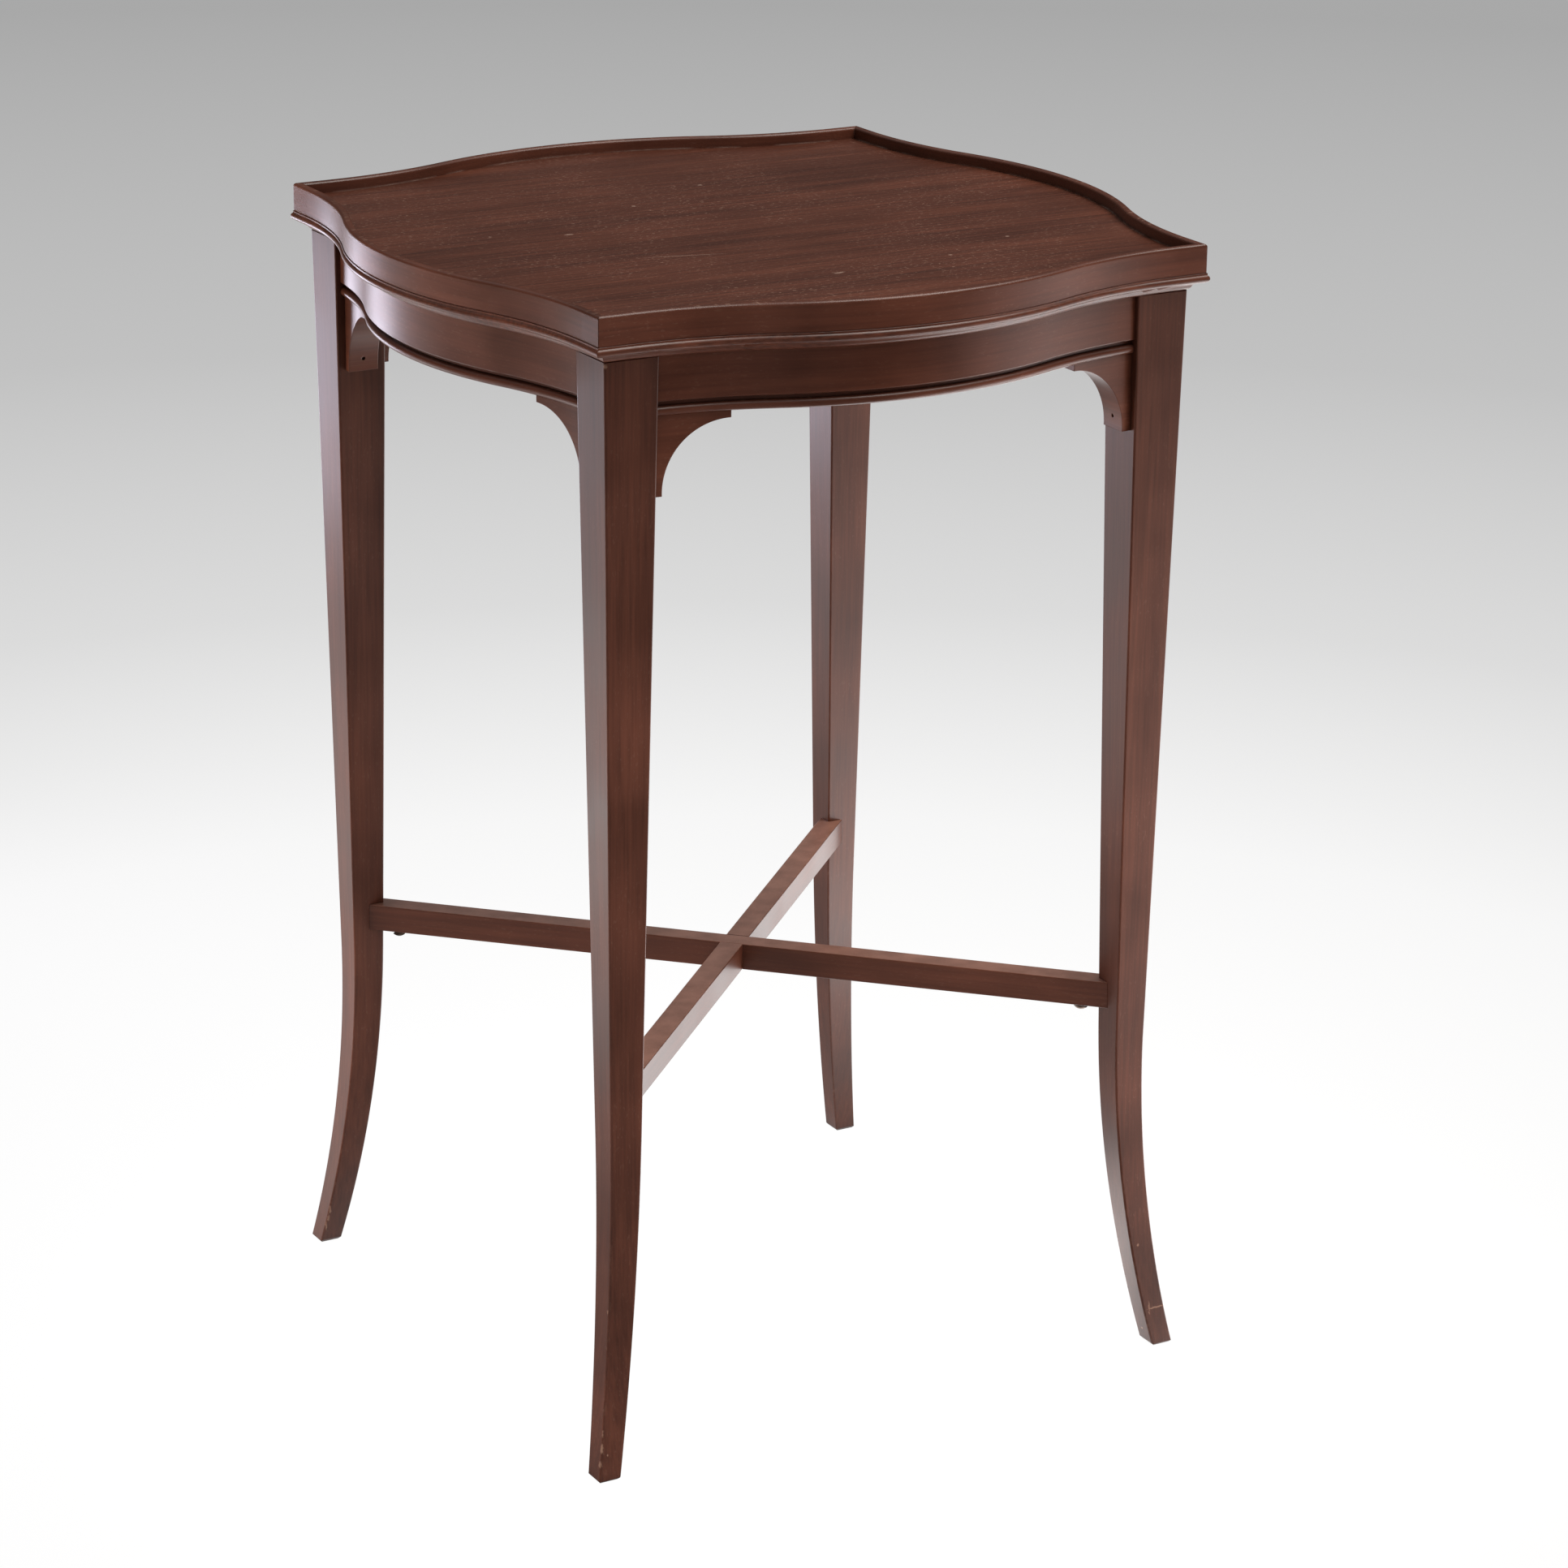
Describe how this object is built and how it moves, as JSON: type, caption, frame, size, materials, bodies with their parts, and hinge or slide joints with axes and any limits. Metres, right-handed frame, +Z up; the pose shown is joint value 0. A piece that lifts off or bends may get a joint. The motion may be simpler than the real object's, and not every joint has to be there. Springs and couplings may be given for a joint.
{
  "type": "occasional table",
  "caption": "Small square occasional table with a serpentine tray top, low gallery, bracketed aprons, swept tapered legs and a crossed diagonal stretcher.",
  "frame": {"origin": "on the floor, under the middle of the table", "axes": "+Z up, +X along the front side to the right, +Y towards the back; the front side is the picture's right-hand near side"},
  "size_m": [0.4612, 0.4612, 0.686],
  "materials": {
    "mahogany": "aged semi-gloss lacquer over red-brown stain",
    "block_wood": "bare pale wood, darkened with age",
    "dowel_wood": "bare wood",
    "blackened_steel": "dull, darkened with age"
  },
  "bodies": {
    "root": {"apron_back": "mahogany", "apron_bead_back": "mahogany", "apron_bead_front": "mahogany", "apron_bead_left": "mahogany", "apron_bead_right": "mahogany", "apron_dowels": "dowel_wood", "apron_front": "mahogany", "apron_left": "mahogany", "apron_right": "mahogany", "block_screws": "blackened_steel", "bracket_back_left": "mahogany", "bracket_back_right": "mahogany", "bracket_front_left": "mahogany", "bracket_front_right": "mahogany", "bracket_left_back": "mahogany", "bracket_left_front": "mahogany", "bracket_pins": "blackened_steel", "bracket_right_back": "mahogany", "bracket_right_front": "mahogany", "corner_block_back_left": "block_wood", "corner_block_back_right": "block_wood", "corner_block_front_left": "block_wood", "corner_block_front_right": "block_wood", "gallery_back": "mahogany", "gallery_front": "mahogany", "gallery_left": "mahogany", "gallery_right": "mahogany", "leg_back_left": "mahogany", "leg_back_right": "mahogany", "leg_front_left": "mahogany", "leg_front_right": "mahogany", "stretcher_over": "mahogany", "stretcher_screws": "blackened_steel", "stretcher_under": "mahogany", "top_board": "mahogany", "top_screws": "blackened_steel"}
  },
  "joints": []
}
